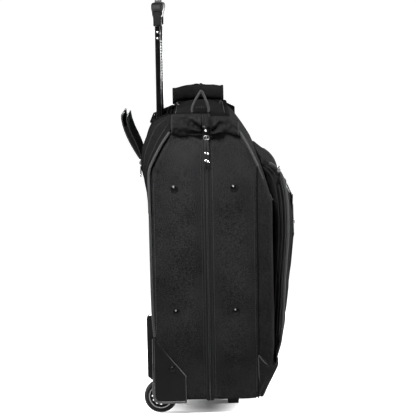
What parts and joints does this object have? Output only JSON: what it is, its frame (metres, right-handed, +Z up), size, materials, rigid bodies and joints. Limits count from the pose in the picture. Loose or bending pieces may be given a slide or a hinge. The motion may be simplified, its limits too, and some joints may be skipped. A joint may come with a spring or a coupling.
{
  "type": "softside upright suitcase",
  "caption": "Soft upright folding garment case with two hinged half shells, telescopic trolley handle, wheels, feet, zips and front pockets.",
  "frame": {"origin": "middle of the bounding box's base, on the floor under the case", "axes": "+Z up along the height, +Y towards the back (trolley side), +X to the case's right seen from the front with -Y facing the viewer"},
  "size_m": [0.576, 0.3258, 0.766],
  "materials": {
    "shell_fabric": "black ballistic nylon weave, matte",
    "pocket_fabric": "black nylon weave, darker, matte",
    "trim_fabric": "black coated nylon, slight sheen",
    "webbing": "ribbed black webbing",
    "zip_black": "black zip tape and coil",
    "plastic": "black moulded plastic, satin",
    "tube": "dark anodised, satin",
    "steel": "bright plated",
    "rubber": "black, matte"
  },
  "bodies": {
    "back_half": {"back_shell": "shell_fabric", "carry_strap": "webbing", "cover_slider": "steel", "fold_gusset_back_left": "trim_fabric", "fold_gusset_back_right": "trim_fabric", "fold_spine": "trim_fabric", "frame_hoop_back": "steel", "frame_stay_back_left": "steel", "frame_stay_back_right": "steel", "guard_screw_left": "steel", "guard_screw_right": "steel", "handle_recess": "trim_fabric", "handle_wrap": "pocket_fabric", "hanger_clamp": "plastic", "outer_tube_left": "tube", "outer_tube_right": "tube", "side_loop_left": "webbing", "side_loop_right": "webbing", "skid_rail_left": "plastic", "skid_rail_right": "plastic", "tube_bottom_bracket": "plastic", "wheel_axle_left": "steel", "wheel_axle_right": "steel", "wheel_housing_left": "plastic", "wheel_housing_right": "plastic", "zip_tape_back": "zip_black"},
    "front_half": {"front_shell": "shell_fabric", "frame_hoop_front": "steel", "frame_stay_front_left": "steel", "frame_stay_front_right": "steel", "fold_gusset_front_left": "trim_fabric", "fold_gusset_front_right": "trim_fabric", "zip_tape_front": "zip_black", "foot_left": "rubber", "foot_right": "rubber", "front_pocket": "pocket_fabric", "small_front_pocket": "pocket_fabric", "lower_pouch": "trim_fabric", "pocket_slider": "steel"},
    "mid_tubes": {"mid_tube_left": "tube", "mid_tube_right": "tube"},
    "handle": {"inner_tube_left": "tube", "inner_tube_right": "tube", "handle_grip": "plastic"},
    "release_button": {"release_button": "plastic"},
    "cover_flap": {"handle_cover_flap": "shell_fabric"},
    "clamp_lever": {"hanger_clamp_lever": "plastic"},
    "cover_pull": {"cover_pull": "steel"},
    "pocket_pull": {"pocket_pull": "steel"},
    "small_pocket_pull": {"small_pocket_pull": "steel"},
    "wheel_left": {"wheel_tyre_left": "rubber", "wheel_hub_left": "plastic"},
    "side_slider_left": {"side_slider_left": "steel"},
    "side_pull_front_left": {"side_pull_front_left": "steel"},
    "side_pull_back_left": {"side_pull_back_left": "steel"},
    "wheel_right": {"wheel_tyre_right": "rubber", "wheel_hub_right": "plastic"},
    "side_slider_right": {"side_slider_right": "steel"},
    "side_pull_front_right": {"side_pull_front_right": "steel"},
    "side_pull_back_right": {"side_pull_back_right": "steel"}
  },
  "joints": [
    {"name": "front_fold", "type": "hinge", "parent": "back_half", "child": "front_half", "pos_m": [0, -0.0306, 0.557], "axis": [-1, 0, 0], "range_deg": [0, 110]},
    {"name": "handle_lower_slide", "type": "slide", "parent": "back_half", "child": "mid_tubes", "axis": [0, 0, 1], "range_m": [0, 0.16]},
    {"name": "handle_upper_slide", "type": "slide", "parent": "mid_tubes", "child": "handle", "axis": [0, 0, 1], "range_m": [-0.215, 0.12]},
    {"name": "release_button_press", "type": "slide", "parent": "handle", "child": "release_button", "axis": [0, 0, -1], "range_m": [0, 0.003], "stiffness_N_per_m": 500},
    {"name": "cover_flap_swing", "type": "hinge", "parent": "back_half", "child": "cover_flap", "pos_m": [0, 0.1282, 0.461], "axis": [-1, 0, 0], "range_deg": [-12, 140]},
    {"name": "clamp_lever_swing", "type": "hinge", "parent": "back_half", "child": "clamp_lever", "pos_m": [0, 0.0244, 0.538], "axis": [-1, 0, 0], "range_deg": [0, 60]},
    {"name": "cover_pull_swing", "type": "hinge", "parent": "back_half", "child": "cover_pull", "pos_m": [-0.1345, 0.1309, 0.4508], "axis": [1, 0, 0], "range_deg": [0, 90]},
    {"name": "pocket_pull_swing", "type": "hinge", "parent": "front_half", "child": "pocket_pull", "pos_m": [-0.2522, -0.1216, 0.4348], "axis": [0, 1, 0], "range_deg": [0, 90]},
    {"name": "small_pocket_pull_swing", "type": "hinge", "parent": "front_half", "child": "small_pocket_pull", "pos_m": [-0.146, -0.1616, 0.3428], "axis": [-1, 0, 0], "range_deg": [0, 90]},
    {"name": "wheel_spin_left", "type": "hinge", "parent": "back_half", "child": "wheel_left", "pos_m": [-0.252, 0.0984, 0.031], "axis": [1, 0, 0], "continuous": true},
    {"name": "side_slider_run_left", "type": "slide", "parent": "back_half", "child": "side_slider_left", "axis": [0, 0, -1], "range_m": [0, 0.42]},
    {"name": "side_pull_front_swing_left", "type": "hinge", "parent": "side_slider_left", "child": "side_pull_front_left", "pos_m": [-0.2845, 0.0025, 0.5165], "axis": [0, 1, 0], "range_deg": [0, 100]},
    {"name": "side_pull_back_swing_left", "type": "hinge", "parent": "side_slider_left", "child": "side_pull_back_left", "pos_m": [-0.2845, 0.0103, 0.5165], "axis": [0, 1, 0], "range_deg": [0, 100]},
    {"name": "wheel_spin_right", "type": "hinge", "parent": "back_half", "child": "wheel_right", "pos_m": [0.252, 0.0984, 0.031], "axis": [1, 0, 0], "continuous": true},
    {"name": "side_slider_run_right", "type": "slide", "parent": "back_half", "child": "side_slider_right", "axis": [0, 0, -1], "range_m": [0, 0.42]},
    {"name": "side_pull_front_swing_right", "type": "hinge", "parent": "side_slider_right", "child": "side_pull_front_right", "pos_m": [0.2845, 0.0025, 0.5165], "axis": [0, -1, 0], "range_deg": [0, 100]},
    {"name": "side_pull_back_swing_right", "type": "hinge", "parent": "side_slider_right", "child": "side_pull_back_right", "pos_m": [0.2845, 0.0103, 0.5165], "axis": [0, -1, 0], "range_deg": [0, 100]}
  ]
}
